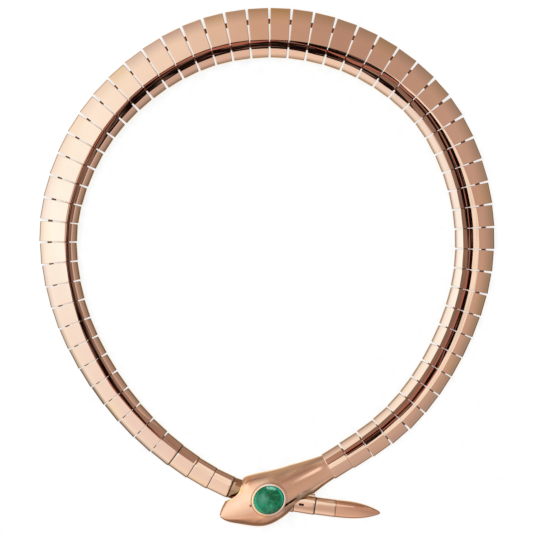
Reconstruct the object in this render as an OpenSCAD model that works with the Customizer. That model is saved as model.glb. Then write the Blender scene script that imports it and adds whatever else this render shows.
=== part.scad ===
// Snake collar of domed, hinged links that closes under the snake's head, lying flat on its underside

/* [Links] */
// Thickness of the sheet metal in a link
link_wall = 0.6; // [0.5:0.05:0.7]
// Height of a dome before its share of the link's width is added
dome_base = 1.5; // [1.3:0.1:1.8]
// Height that a dome gains for each mm of the link's width
dome_rise = 0.235; // [0.22:0.005:0.26]
// Share of the width by which the crest lies towards the inside of the collar
crest_share = 0.17; // [0.14:0.01:0.18]
// Share of the dome's height that stands upright along the outside of the collar
outer_skirt = 0.36; // [0.34:0.01:0.42]
// Share of the dome's height that stands upright along the inside of the collar
inner_skirt = 0.58; // [0.54:0.01:0.62]

/* [Joints] */
// Gap between two links where they come closest
hinge_gap = 0.2; // [0.15:0.05:0.3]
// Share of the width by which that place lies towards the inside of the collar
pivot_share = 0.13; // [0.1:0.01:0.16]
// Angle by which a link widens from there to the outside
outer_taper = 0.8; // [0.4:0.1:1.2]
// Angle by which a link narrows from there to the inside
inner_taper = 5.5; // [5:0.1:6.5]
// Distance from a joint to the posts on either side of it
post_reach = 1.5; // [1.4:0.05:1.6]
// Share of the width from the middle of a link to its posts
post_share = 0.23; // [0.2:0.01:0.24]
// Play between a post and the hole of its strap
post_play = 0.12; // [0.1:0.01:0.14]
// Thickness of a strap
strap_t = 0.45; // [0.4:0.05:0.5]
// Height of a strap above the surface that the collar lies on
strap_z = 0.55; // [0.5:0.05:0.6]

/* [Head] */
// Thickness of the head's wall
head_wall = 0.85; // [0.7:0.05:1]
// Height of the passage for the tail through the head
passage_h = 3.9; // [3.7:0.1:4]
// Width of that passage
passage_w = 7.8; // [7.6:0.1:8]

/* [Eye] */
// Width of the oval stone across the head
stone_d = 8.1; // [8:0.1:8.4]
// How much longer the stone and its setting are along the head than across it
eye_stretch = 0.8; // [0.6:0.1:1]
// Height of the stone's dome above its upright edge
stone_dome = 2.3; // [1.8:0.1:3]
// Outer width of the setting across the head
setting_d = 9.6; // [9.5:0.1:9.8]
// Height of the setting
setting_h = 2; // [1.8:0.1:2.2]

/* [Clasp] */
// Diameter of the peg that holds the tail under the head
peg_d = 1.6; // [1.4:0.1:1.7]
// Play between the peg and its hole
peg_play = 0.2; // [0.15:0.05:0.25]

/* [Hidden] */
$fn = 96;
rose_gold = [0.86, 0.62, 0.5];
shaded_gold = [0.62, 0.4, 0.3];
green_stone = [0.08, 0.5, 0.33];

// Links between the neck, which is joint 0, and the tail tip
link_count = 65;
// Links whose dome is drilled: one for the clasp's peg, one beside the head, which has the catch
peg_link = 62;
catch_link = 64;

// The collar's middle line from above, a row every fourth joint, with one row before the neck
// and one past the tail: x, y, width of the body there
route_step = 4;
ROUTE = [
    [-3.6, -72.4, 7.0],
    [18.3, -60.1, 8.2],
    [39.4, -45.4, 9.8],
    [53.9, -25.0, 10.5],
    [61.8, -1.0, 11.5],
    [60.4, 24.1, 12.4],
    [49.7, 47.1, 13.4],
    [30.3, 63.0, 14.3],
    [6.8, 70.0, 14.9],
    [-17.4, 67.5, 14.7],
    [-38.6, 55.7, 13.8],
    [-54.4, 37.2, 12.7],
    [-62.4, 13.5, 11.5],
    [-59.7, -11.1, 10.4],
    [-48.9, -33.7, 9.4],
    [-32.4, -52.6, 8.0],
    [-10.9, -66.2, 6.6],
    [14.4, -71.8, 5.4],
    [36.5, -73.7, 4.6]
];

// Heading of the head's middle line at the neck and at the snout, and its length between them
neck_heading = 29.4;
snout_heading = 19.3;
head_l = 35.6;

// Sections across the head, from the snout to the neck: distance back from the neck joint,
// half width inside the collar, half width outside it, height, crest's shift to the outside,
// fullness inside, fullness outside (2 is an ellipse, more is squarer)
HEAD = [
    [35.6, 0.4, 0.6, 1.5, 0.1, 2.2, 2.2],
    [34.9, 1.4, 1.6, 2.1, 0.3, 2.2, 2.1],
    [33.8, 2.6, 2.6, 2.7, 0.6, 2.3, 2.0],
    [32.4, 3.8, 3.5, 3.4, 0.9, 2.4, 1.9],
    [30.7, 4.8, 4.5, 4.2, 1.3, 2.4, 1.8],
    [28.7, 5.95, 5.7, 4.9, 1.6, 2.4, 1.8],
    [26.7, 7.1, 6.8, 5.6, 1.6, 2.5, 1.9],
    [24.5, 8.25, 7.6, 6.0, 1.4, 2.5, 2.2],
    [22, 8.1, 7.85, 6.2, 1.0, 2.5, 2.4],
    [19, 7.6, 7.55, 6.2, 0.6, 2.5, 2.5],
    [16.3, 7.0, 6.9, 5.9, 0.2, 2.5, 2.5],
    [13, 6.35, 6.2, 5.3, -0.3, 2.5, 2.5],
    [10, 5.9, 5.55, 4.8, -0.7, 2.5, 2.5],
    [7, 5.3, 4.95, 4.3, -1.0, 2.4, 2.4],
    [3.5, 4.6, 4.3, 3.7, -1.2, 2.3, 2.3],
    [0.1, 3.95, 3.95, 3.35, -1.3, 2.2, 2.2]
];
// The rows of the snout that are too slim to be hollow
solid_rows = 2;

// Sections along the tail tip, from its root: distance from the last joint, half width, height
TAIL = [
    [0.1, 2.6, 2.7],
    [2.5, 2.6, 2.65],
    [5, 2.5, 2.55],
    [7.5, 2.2, 2.4],
    [9.6, 1.75, 2.15],
    [11.3, 1.2, 1.8],
    [12.6, 0.7, 1.4],
    [13.3, 0.25, 1.0]
];
// Fullness of those sections, and the wall of their hollow
tail_fullness = 2.2;
tail_wall = 0.6;

// Height of the upright edge along the foot of the head and the tail tip
foot_edge = 0.5;
// Sections laid between two rows of a table, and points round each section's arch
row_steps = 2;
arch_steps = 14;

// The middle of the passage under the head, and its heading
passage_at = [0.25, -68.95];
passage_heading = -12;
// The passage's length, and the radius of its arched roof
passage_l = 34;
passage_roof_r = 4.6;

// Middle of the eye: distance back from the neck joint, and shift to the outside
eye_back = 20.05;
eye_shift = 0.55;
// The disc that carries the setting: height of its top, thickness, rim past the setting
seat_z = 5.1;
seat_t = 0.9;
seat_rim = 0.5;
// Play round the setting
seat_play = 0.1;
// The setting's ledge under the stone, and how far its wall leans in
ledge_h = 0.8;
ledge_w = 0.9;
setting_slope = 0.2;
// Play round the stone, and the height of its upright edge
stone_play = 0.12;
stone_edge = 0.7;

// Height of the peg's lower end
peg_foot = 1.3;
// The oval slot, a blind recess: length and width, where its middle lies outwards and forwards
// in its link, and its depth as a share of the link's wall
catch_slot = [1.7, 0.7];
catch_shift = [0.1, -1.0];
slot_share = 0.65;
// Corners of the small catch plate: distance out of its link's inside edge, and forwards
CATCH = [[-0.4, 0.6], [0.6, 1.3], [0.9, 2.6], [-0.4, 2.9]];
// Height of the plate's underside, and its thickness
catch_z = 0.9;
catch_t = 0.6;

// The foot of a post: height of its underside, thickness, rim past the post
foot_z = 0.12;
foot_t = 0.33;
foot_rim = 0.27;
// Distance that cutting solids run past what they cut
over = 1;

// Smooth curve through b and c, from b at t = 0 to c at t = 1
function spline(a, b, c, d, t) =
    0.5 * (2 * b + (c - a) * t + (2 * a - 5 * b + 4 * c - d) * t * t
    + (3 * b - a - 3 * c + d) * t * t * t);

// Row of a table at any place between its rows, each of them known by its index
function row_at(table, i) =
    let (last = len(table) - 1, k = min(max(floor(i), 0), last - 1))
    spline(table[max(k - 1, 0)], table[k], table[k + 1], table[min(k + 2, last)], i - k);

function route_row(j) = row_at(ROUTE, j / route_step + 1);
function joint_at(j) = [route_row(j).x, route_row(j).y];
function body_w(j) = route_row(j).z;
function angle_of(v) = atan2(v.y, v.x);
function joint_heading(j) = angle_of(joint_at(j + 0.5) - joint_at(j - 0.5));

// Directions along a heading, and out of the collar to the right of it
function ahead(heading) = [cos(heading), sin(heading)];
function outward(heading) = [sin(heading), -cos(heading)];

// The place where two links come closest
function pivot_at(j) = joint_at(j) - pivot_share * body_w(j) * outward(joint_heading(j));

// A link's heading, width and middle
function link_heading(k) = angle_of(pivot_at(k) - pivot_at(k - 1));
function link_w(k) = body_w(k - 0.5);
function link_at(k) =
    (pivot_at(k) + pivot_at(k - 1)) / 2 + pivot_share * link_w(k) * outward(link_heading(k));

// Lengths that two arcs share are kept to whole microns, so that the arcs meet exactly
function fine(length) = round(length * 1000) / 1000;
function dome_h(w) = fine(dome_base + dome_rise * w);
function arc_r(reach, drop) = (reach * reach + drop * drop) / (2 * drop);

// Height of a point inside a dome's wall, at a depth under its skin and a distance x out of
// the middle
function wall_z(w, x, depth) =
    let (
        dx = x + crest_share * w,
        reach = w / 2 + (dx > 0 ? crest_share : -crest_share) * w,
        r = arc_r(reach, dome_h(w) * (1 - (dx > 0 ? outer_skirt : inner_skirt)))
    )
    dome_h(w) - r + sqrt(pow(r - depth, 2) - dx * dx);

// Posts and straps get slimmer with the body
function strap_r(w) = 0.45 + 0.02 * w;
function post_r(w) = 0.4 * strap_r(w);
function post_shift(w) = min(post_share * w, w / 2 - link_wall - 0.95);

// The head's middle line is an arc that starts at the neck joint
bend_r = head_l / ((neck_heading - snout_heading) * PI / 180);
function head_heading(back) = neck_heading - (neck_heading - snout_heading) * back / head_l;
function head_at(back) =
    joint_at(0) + bend_r * (outward(head_heading(back)) - outward(neck_heading));
eye_at = head_at(eye_back) + eye_shift * outward(head_heading(eye_back));

// Arch of a section, from its outside foot over the crest to its inside foot
function arch_x(t, half, crest, fullness) = crest + (half - crest) * pow(abs(cos(t)), 2 / fullness);
function arch(outside, inside, h, crest, full_out, full_in, foot) = [
    [outside, foot],
    for (i = [0 : arch_steps])
        let (t = 180 * i / arch_steps, first = t <= 90)
        [
            first ? arch_x(t, outside, crest, full_out) : -arch_x(t, inside, -crest, full_in),
            foot_edge + (h - foot_edge) * pow(sin(t), 2 / (first ? full_out : full_in))
        ],
    [-inside, foot]
];

// A section's points set upright at a place and heading
function upright(points, at, heading) = [
    for (p = points) [at.x + p.x * outward(heading).x, at.y + p.x * outward(heading).y, p.y]
];

// The head's rings, shrunk by a wall's thickness, with feet at a height
function head_ring(row, wall, foot) =
    upright(
        arch(row[2] - wall, row[1] - wall, row[3] - wall, row[4], row[6], row[5], foot),
        head_at(row[0]),
        head_heading(row[0])
    );

function tail_ring(row, wall, foot) =
    upright(
        arch(row[1] - wall, row[1] - wall, row[2] - wall, -2 * crest_share * row[1],
            tail_fullness, tail_fullness, foot),
        joint_at(link_count) + row[0] * ahead(joint_heading(link_count)),
        joint_heading(link_count)
    );

// Skin over rings that follow one another forwards, closed at both ends
module loft(rings) {
    n = len(rings[0]);
    m = len(rings);
    polyhedron(
        points = [for (ring = rings) each ring],
        faces = [
            [for (j = [n - 1 : -1 : 0]) j],
            [for (j = [0 : n - 1]) (m - 1) * n + j],
            for (i = [0 : m - 2], j = [0 : n - 1])
                let (a = i * n + j, b = i * n + (j + 1) % n)
                each [[a, b, b + n], [a, b + n, a + n]]
        ],
        convexity = 6
    );
}

// An outline across the body, drawn out along a heading
module drawn_along(at, heading, length) {
    translate([at.x, at.y, 0])
        rotate([0, 0, heading - 90])
            rotate([90, 0, 0])
                linear_extrude(height = length, center = true)
                    children();
}

// One side of a dome's outline: an upright skirt and an arc that is level at the crest
module half_dome(reach, h, skirt, wall) {
    r = fine(arc_r(reach, h - skirt));
    span = reach - wall;
    corner_z = h - r + sqrt(pow(r - wall, 2) - span * span);
    skirt_top = (max(h - r, 0) + corner_z) / 2;
    below = wall > 0 ? over : 0;
    translate([0, -below]) square([span, skirt_top + below]);
    intersection() {
        translate([0, h - r]) circle(r = r - wall, $fn = 4 * $fn);
        square([span, h + over]);
    }
}

// Outline of a link from its end, less a wall
module dome(w, wall) {
    h = dome_h(w);
    crest = fine(crest_share * w);
    translate([-crest, 0]) {
        half_dome(fine(w / 2 + crest), h, h * outer_skirt, wall);
        mirror([1, 0]) half_dome(fine(w / 2 - crest), h, h * inner_skirt, wall);
    }
}

// Outline of a link from above: straight from its closest place outwards, relieved inwards
module link_plan(w, length) {
    pivot = -pivot_share * w;
    outer_y = length / 2 + (w / 2 - pivot) * tan(outer_taper);
    inner_y = length / 2 - (w / 2 + pivot) * tan(inner_taper);
    polygon([
        [w / 2, outer_y],
        [pivot, length / 2],
        [-w / 2, inner_y],
        [-w / 2, -inner_y],
        [pivot, -length / 2],
        [w / 2, -outer_y]
    ]);
}

// One post of joint j: behind or ahead of it (side -1 or 1), inside or outside (across -1 or 1),
// with a wider foot
module post(j, side, across, top) {
    w = body_w(j);
    at = joint_at(j) + side * post_reach * ahead(joint_heading(j))
        + across * post_shift(w) * outward(joint_heading(j));
    translate([at.x, at.y, foot_z]) {
        cylinder(r = post_r(w), h = top - foot_z);
        cylinder(r = post_r(w) + foot_rim, h = foot_t);
    }
}

// A strap that joins a post behind joint j to the one ahead of it
module strap(j, across) {
    w = body_w(j);
    at = joint_at(j) + across * post_shift(w) * outward(joint_heading(j));
    translate([at.x, at.y, strap_z]) rotate([0, 0, joint_heading(j)])
        difference() {
            union() {
                translate([-post_reach, -strap_r(w), 0]) cube([2 * post_reach, 2 * strap_r(w), strap_t]);
                for (side = [-1, 1])
                    translate([side * post_reach, 0, 0])
                        cylinder(r = strap_r(w), h = strap_t);
            }
            for (side = [-1, 1])
                translate([side * post_reach, 0, -over])
                    cylinder(r = post_r(w) + post_play, h = strap_t + 2 * over);
        }
}

// The hole for the clasp's peg
module peg_hole() {
    translate([link_at(peg_link).x, link_at(peg_link).y, peg_foot])
        cylinder(d = peg_d + 2 * peg_play, h = dome_h(link_w(peg_link)));
}

// Sets its children at the middle of a link, with x outwards and y forwards
module on_link(k) {
    translate([link_at(k).x, link_at(k).y, 0])
        rotate([0, 0, link_heading(k) - 90])
            children();
}

// The oval slot beside the catch
module catch_hole() {
    run = catch_slot.x - catch_slot.y;
    w = link_w(catch_link);
    on_link(catch_link)
        translate([catch_shift.x, catch_shift.y, wall_z(w, catch_shift.x, slot_share * link_wall)])
            linear_extrude(height = dome_h(w)) {
                square([catch_slot.y, run], center = true);
                for (end = [-1, 1])
                    translate([0, end * run / 2]) circle(d = catch_slot.y);
            }
}

// The catch plate that stands out of its link under the head
module catch_plate() {
    edge = link_w(catch_link) / 2;
    on_link(catch_link)
        translate([0, 0, catch_z])
            linear_extrude(height = catch_t)
                polygon([for (p = CATCH) [-edge - p.x, p.y]]);
}

// One link: a domed shell open below, with four posts inside it
module link(k) {
    w = link_w(k);
    h = dome_h(w);
    at = link_at(k);
    heading = link_heading(k);
    length = norm(pivot_at(k) - pivot_at(k - 1)) - hinge_gap;
    intersection() {
        difference() {
            drawn_along(at, heading, 2 * length) dome(w, 0);
            drawn_along(at, heading, 2 * length + over) dome(w, link_wall);
        }
        on_link(k) translate([0, 0, -over]) linear_extrude(height = h + 2 * over) link_plan(w, length);
    }
    for (across = [-1, 1]) {
        top = wall_z(w, across * post_shift(w), link_wall / 2);
        post(k - 1, 1, across, top);
        post(k, -1, across, top);
    }
}

module links() {
    color(rose_gold)
        for (k = [1 : link_count]) {
            if (k == peg_link) difference() {
                link(k);
                peg_hole();
            }
            else if (k == catch_link) difference() {
                union() {
                    link(k);
                    catch_plate();
                }
                catch_hole();
            }
            else link(k);
        }
}

module hinge_straps() {
    color(shaded_gold)
        for (j = [0 : link_count], across = [-1, 1]) strap(j, across);
}

// Turns an outline round the middle of the eye at a height, drawn out along the head to an oval
module eye_oval(z) {
    translate([eye_at.x, eye_at.y, z]) rotate([0, 0, head_heading(eye_back)])
        for (end = [-1, 1]) {
            translate([end * eye_stretch / 2, 0, 0])
                rotate([0, 0, -90 * end])
                    rotate_extrude(angle = 180)
                        children();
            rotate([90, 0, 90 * end])
                linear_extrude(height = eye_stretch, center = true)
                    children();
        }
}

// The head: a hollow domed shell with a passage for the tail, posts for the neck joint
// and an oval seat for the eye
module head() {
    rows = len(HEAD);
    hollow_rows = [for (i = [solid_rows * row_steps : (rows - 1) * row_steps]) row_at(HEAD, i / row_steps)];
    past_neck = [for (i = [0 : len(HEAD[0]) - 1]) i == 0 ? -over : HEAD[rows - 1][i]];
    color(rose_gold) difference() {
        loft([for (i = [0 : (rows - 1) * row_steps]) head_ring(row_at(HEAD, i / row_steps), 0, 0)]);
        difference() {
            loft([for (row = concat(hollow_rows, [past_neck])) head_ring(row, head_wall, -over)]);
            for (across = [-1, 1]) post(0, -1, across, HEAD[rows - 1][3]);
            eye_oval(seat_z - seat_t) square([setting_d / 2 + seat_rim, seat_t]);
        }
        drawn_along(passage_at, passage_heading, passage_l) intersection() {
            translate([0, passage_h - passage_roof_r]) circle(r = passage_roof_r);
            translate([-passage_w / 2, -over]) square([passage_w, passage_h + 2 * over]);
        }
        eye_oval(seat_z) square([setting_d / 2 + seat_play, setting_h]);
    }
}

// The oval ring that holds the stone, with a ledge inside under the stone's edge
module eye_setting() {
    outer_r = setting_d / 2;
    bore_r = stone_d / 2 + stone_play;
    color(rose_gold) eye_oval(seat_z)
        polygon([
            [bore_r - ledge_w, 0],
            [outer_r, 0],
            [outer_r, setting_h / 2],
            [outer_r - setting_slope, setting_h],
            [bore_r, setting_h],
            [bore_r, ledge_h],
            [bore_r - ledge_w, ledge_h]
        ]);
}

// A smooth oval stone with a flat base, an upright edge and a domed top
module eye_stone() {
    cap_r = arc_r(stone_d / 2, stone_dome);
    color(green_stone) eye_oval(seat_z + ledge_h + stone_play) {
        square([stone_d / 2, stone_edge]);
        intersection() {
            translate([0, stone_edge + stone_dome - cap_r]) circle(r = cap_r, $fn = 4 * $fn);
            square([stone_d / 2, stone_edge + stone_dome]);
        }
    }
}

// The pointed last piece of the tail, hollow at its root
module tail_tip() {
    rows = len(TAIL);
    hollow_rows = [for (i = [0 : (rows - 3) * row_steps]) row_at(TAIL, i / row_steps)];
    before_root = [-over, TAIL[0][1], TAIL[0][2]];
    color(rose_gold) difference() {
        loft([for (i = [0 : (rows - 1) * row_steps]) tail_ring(row_at(TAIL, i / row_steps), 0, 0)]);
        difference() {
            loft([for (row = concat([before_root], hollow_rows)) tail_ring(row, tail_wall, -over)]);
            for (across = [-1, 1]) post(link_count, 1, across, TAIL[0][2]);
        }
    }
}

// The peg under the seat of the eye that holds the tail
module clasp_peg() {
    color(shaded_gold) translate([link_at(peg_link).x, link_at(peg_link).y, peg_foot])
        cylinder(d = peg_d, h = seat_z - seat_t - peg_foot);
}

head();
eye_setting();
eye_stone();
links();
hinge_straps();
tail_tip();
clasp_peg();
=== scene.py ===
import math
from functools import cache

import bmesh
import bpy
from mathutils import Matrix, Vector


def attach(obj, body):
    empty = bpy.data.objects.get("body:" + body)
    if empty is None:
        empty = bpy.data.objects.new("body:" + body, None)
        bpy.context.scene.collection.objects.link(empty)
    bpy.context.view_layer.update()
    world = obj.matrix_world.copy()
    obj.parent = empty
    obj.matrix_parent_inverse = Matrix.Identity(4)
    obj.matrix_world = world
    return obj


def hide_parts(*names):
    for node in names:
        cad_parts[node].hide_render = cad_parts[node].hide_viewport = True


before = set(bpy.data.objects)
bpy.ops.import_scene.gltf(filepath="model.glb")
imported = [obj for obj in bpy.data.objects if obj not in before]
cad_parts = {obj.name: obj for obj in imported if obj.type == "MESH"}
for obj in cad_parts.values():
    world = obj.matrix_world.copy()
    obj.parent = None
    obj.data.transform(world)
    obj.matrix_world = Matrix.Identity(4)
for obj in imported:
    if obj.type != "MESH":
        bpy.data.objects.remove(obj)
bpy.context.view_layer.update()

# Everything is worked out in millimetres and turned into metres when a mesh is made
MM = 0.001
ROOT = "root"

# The collar's middle line, as in the part's source: a row every fourth joint, from one before
# the neck to one past the tail: x, y, width of the body there
ROUTE_STEP = 4
ROUTE = [
    (-3.6, -72.4, 7.0),
    (18.3, -60.1, 8.2),
    (39.4, -45.4, 9.8),
    (53.9, -25.0, 10.5),
    (61.8, -1.0, 11.5),
    (60.4, 24.1, 12.4),
    (49.7, 47.1, 13.4),
    (30.3, 63.0, 14.3),
    (6.8, 70.0, 14.9),
    (-17.4, 67.5, 14.7),
    (-38.6, 55.7, 13.8),
    (-54.4, 37.2, 12.7),
    (-62.4, 13.5, 11.5),
    (-59.7, -11.1, 10.4),
    (-48.9, -33.7, 9.4),
    (-32.4, -52.6, 8.0),
    (-10.9, -66.2, 6.6),
    (14.4, -71.8, 5.4),
    (36.5, -73.7, 4.6),
]
LINK_COUNT = 65
PEG_LINK = 62
CATCH_LINK = 64

# Sizes of a link, as in the part's source
LINK_WALL = 0.6
DOME_BASE = 1.5
DOME_RISE = 0.235
CREST_SHARE = 0.17
OUTER_SKIRT = 0.36
INNER_SKIRT = 0.58
HINGE_GAP = 0.2
PIVOT_SHARE = 0.13
OUTER_TAPER = 0.8
INNER_TAPER = 5.5
POST_REACH = 1.5
POST_SHARE = 0.23
POST_MARGIN = 0.95
POST_R_SHARE = 0.4
POST_STEPS = 16
STRAP_R = 0.45
STRAP_R_RISE = 0.02
FOOT_Z = 0.12
FOOT_T = 0.33
FOOT_RIM = 0.27
FOOT_BEVEL = 0.06

# Rounds that soften a link's outer edge, its inner edge, both inside the shell, and its ends
OUTER_ROUND = 0.62
INNER_ROUND = 0.36
INSIDE_ROUND = 0.2
END_ROUND = 0.09
# Sections at a link's end, counted in that round: how far back each lies and how deep it is sunk
END_SECTIONS = [(0.0, 1.0), (0.3, 0.3), (1.0, 0.0), (3.0, 0.0)]
SKIRT_FOOT = 0.25
# Greatest lean of a link to one side, in degrees; greatest yellowness of its outer half, and the
# share of the width, outwards of the middle, at which it begins
LEAN = 0.5
LINK_WARMTH = 0.4
WARM_FROM = 0.08
# Turns for each link that make such small changes come without a pattern
WOBBLE = (12.9898, 4.1, 4.37)
# How much longer each end of a link is drawn than in the source, which leaves more play: least
# on the wide links, most on the narrow ones
PLAY_TAKEN = (0.03, 0.075)
PLAY_WIDTHS = (13.0, 8.0)
# Share of painted shade at the ends of a link, where the joints lie in shadow, on the wide and the
# narrow ones, and how fast it fades
END_SHADE = (0.3, 0.9)
END_FADE = 1.2
# The first joint past which the ends are cut to fit each other, with a fine gap and edges darkened with
# painted shade
SNUG_FROM = 57
SNUG_GAP = 0.015
SNUG_ROUND = 0.18
SNUG_FADE = 3.5
WIDE_SNUG_ROUND = {57: 0.28, 60: 0.36, 64: 0.28}
# Painted shade along the outer rim of the links: a link's number and how strong it is there; then along
# the inner rim; and the shares of the width over which each comes or goes
OUTER_RIM = [(1, 0.0), (40, 0.0), (45, 0.15), (49, 0.3), (53, 0.8), (57, 0.6), (60, 0.2), (66, 0.1)]
INNER_RIM = 0.35
OUTER_RIM_ENDS = (0.03, 0.16)
INNER_RIM_BEGINS = (0.93, 0.97)
# Painted shade and tints on the links near the head and under it, where its shadow falls: name, first
# and last link, share of the width from the outer edge at which the patch begins and ends, its painted
# shade, yellowness and redness
PATCHES = [
    ("first_link_inside", 1, 1, 0.78, 1.2, 0.22, 0.0, 0.3),
    ("under_snout", 61, 61, -0.2, 1.2, 0.5, 0.2, 0.6),
    ("under_snout_edge", 61, 61, -0.2, 0.5, 0.65, 0.5, 0.0),
    ("under_head", 62, 63, -0.2, 1.2, 0.4, 0.0, 0.8),
    ("past_head", 64, 64, 0.2, 0.5, 0.4, 0.0, 0.3),
    ("before_tail", 65, 65, 0.25, 0.62, 0.32, 0.0, 0.3),
]
PATCH_SOFT = 0.12

# The head, as in the part's source: distance back from the neck joint, half width inside the
# collar, half width outside it, height, crest's shift outwards, fullness inside and outside
NECK_HEADING = 29.4
SNOUT_HEADING = 19.3
HEAD_L = 35.6
HEAD_BEND = NECK_HEADING - SNOUT_HEADING
BEND_R = HEAD_L / math.radians(HEAD_BEND)
HEAD = [
    (35.6, 0.4, 0.6, 1.5, 0.1, 2.2, 2.2),
    (34.9, 1.4, 1.6, 2.1, 0.3, 2.2, 2.1),
    (33.8, 2.6, 2.6, 2.7, 0.6, 2.3, 2.0),
    (32.4, 3.8, 3.5, 3.4, 0.9, 2.4, 1.9),
    (30.7, 4.8, 4.5, 4.2, 1.3, 2.4, 1.8),
    (28.7, 5.95, 5.7, 4.9, 1.6, 2.4, 1.8),
    (26.7, 7.1, 6.8, 5.6, 1.6, 2.5, 1.9),
    (24.5, 8.25, 7.6, 6.0, 1.4, 2.5, 2.2),
    (22, 8.1, 7.85, 6.2, 1.0, 2.5, 2.4),
    (19, 7.6, 7.55, 6.2, 0.6, 2.5, 2.5),
    (16.3, 7.0, 6.9, 5.9, 0.2, 2.5, 2.5),
    (13, 6.35, 6.2, 5.3, -0.3, 2.5, 2.5),
    (10, 5.9, 5.55, 4.8, -0.7, 2.5, 2.5),
    (7, 5.3, 4.95, 4.3, -1.0, 2.4, 2.4),
    (3.5, 4.6, 4.3, 3.7, -1.2, 2.3, 2.3),
    (0.1, 3.95, 3.95, 3.35, -1.3, 2.2, 2.2),
]
HEAD_WALL = 0.85
HEAD_SOLID_ROWS = 2
FOOT_EDGE = 0.5
PASSAGE_AT = Vector((0.25, -68.95))
PASSAGE_HEADING = -12
PASSAGE_L = 34
PASSAGE_H = 3.9
PASSAGE_W = 7.8
PASSAGE_ROOF_R = 4.6
PASSAGE_STEPS = 24

# The eye, as in the part's source
EYE_BACK = 20.05
EYE_SHIFT = 0.55
SEAT_Z = 5.1
SEAT_T = 0.9
SEAT_RIM = 0.5
# Play round the ring, 0.06 more than in the source because the ring's mesh is finer
POCKET_PLAY = 0.16
POCKET_H = 3
STONE_D = 8.1
EYE_STRETCH = 0.8
EYE_LONGER = 1 + EYE_STRETCH / STONE_D
STONE_DOME = 2.3
STONE_EDGE = 0.7
STONE_PLAY = 0.12
STONE_BEVEL = 0.1
STONE_STEPS = 28
SETTING_D = 9.6
SETTING_H = 2.0
LEDGE_H = 0.8
LEDGE_W = 0.9
# The ring's straight side and its lip: how far the lip leans over the stone, stands above the
# ring's height and reaches down inside, and the points along it
COLLAR_H = 1.2
LIP_OVER = 0.1
LIP_RISE = 0.04
LIP_FOOT = 0.25
LIP_STEPS = 16

# The tail tip, as in the part's source: distance from the last joint, half width, height
TAIL = [
    (0.1, 2.6, 2.7),
    (2.5, 2.6, 2.65),
    (5, 2.5, 2.55),
    (7.5, 2.2, 2.4),
    (9.6, 1.75, 2.15),
    (11.3, 1.2, 1.8),
    (12.6, 0.7, 1.4),
    (13.3, 0.25, 1.0),
]
TAIL_FULLNESS = 2.2
TAIL_WALL = 0.6

# The clasp, as in the part's source
PEG_D = 1.6
PEG_PLAY = 0.2
PEG_FOOT = 1.3
CATCH_SLOT = (1.7, 0.7)
CATCH_SHIFT = (0.1, -1.0)
CATCH = [(-0.4, 0.6), (0.6, 1.3), (0.9, 2.6), (-0.4, 2.9)]
CATCH_Z = 0.9
CATCH_T = 0.6
SLOT_SHARE = 0.65
SLOT_STEPS = 24
# Which faces belong to the slot: their distance from its middle, in slot lengths, and how far
# below its floor they may lie
SLOT_REACH = 0.6
SLOT_SLACK = 0.05

# How far a cutting solid reaches past what it cuts
CUT_OVER = 1
# Sharpest bends still shaded smooth, in degrees: on most pieces, the head and tail, the stone
SMOOTH_TO = 32
SKIN_SMOOTH_TO = 38
STONE_SMOOTH_TO = 60


def spline(a, b, c, d, t):
    return 0.5 * (
        2 * b + (c - a) * t + (2 * a - 5 * b + 4 * c - d) * t * t
        + (3 * b - a - 3 * c + d) * t * t * t
    )


def step(value, low, high):
    """0 below low, 1 above high, and smooth between them."""
    t = max(0.0, min(1.0, (value - low) / (high - low)))
    return t * t * (3 - 2 * t)


def hump(value, rise_low, rise_high, fall_low, fall_high):
    """0, then 1 between a smooth rise and a smooth fall, then 0 again."""
    return step(value, rise_low, rise_high) * (1 - step(value, fall_low, fall_high))


def row_at(table, i):
    """Row of a table at any place between its rows, on a smooth curve through them."""
    last = len(table) - 1
    k = min(max(math.floor(i), 0), last - 1)
    rows = table[max(k - 1, 0)], table[k], table[k + 1], table[min(k + 2, last)]
    return [spline(a, b, c, d, i - k) for a, b, c, d in zip(*rows)]


@cache
def joint_at(j):
    return Vector(row_at(ROUTE, j / ROUTE_STEP + 1)[:2])


def body_w(j):
    return row_at(ROUTE, j / ROUTE_STEP + 1)[2]


def angle_of(v):
    return math.degrees(math.atan2(v.y, v.x))


def ahead(heading):
    return Vector((math.cos(math.radians(heading)), math.sin(math.radians(heading))))


def outward(heading):
    return Vector((math.sin(math.radians(heading)), -math.cos(math.radians(heading))))


def offset(at, heading, out, along=0.0):
    """The place so far outwards of another and so far ahead of it."""
    return at + out * outward(heading) + along * ahead(heading)


def coords_from(at, heading, p):
    """How far a point lies ahead of a place and how far outwards, seen from above."""
    arm = Vector(p[:2]) - at
    return arm.dot(ahead(heading)), arm.dot(outward(heading))


@cache
def joint_heading(j):
    return angle_of(joint_at(j + 0.5) - joint_at(j - 0.5))


def joint_place(j, out, along=0.0):
    return offset(joint_at(j), joint_heading(j), out, along)


def pivot_at(j):
    return joint_place(j, -PIVOT_SHARE * body_w(j))


@cache
def link_heading(k):
    return angle_of(pivot_at(k) - pivot_at(k - 1))


def link_w(k):
    return body_w(k - 0.5)


@cache
def link_at(k):
    return offset((pivot_at(k) + pivot_at(k - 1)) / 2, link_heading(k), PIVOT_SHARE * link_w(k))


def link_place(k, out, along):
    return offset(link_at(k), link_heading(k), out, along)


def link_l(k):
    return (pivot_at(k) - pivot_at(k - 1)).length - HINGE_GAP


def dome_h(w):
    return DOME_BASE + DOME_RISE * w


def arc_r(reach, drop):
    return (reach * reach + drop * drop) / (2 * drop)


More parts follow.
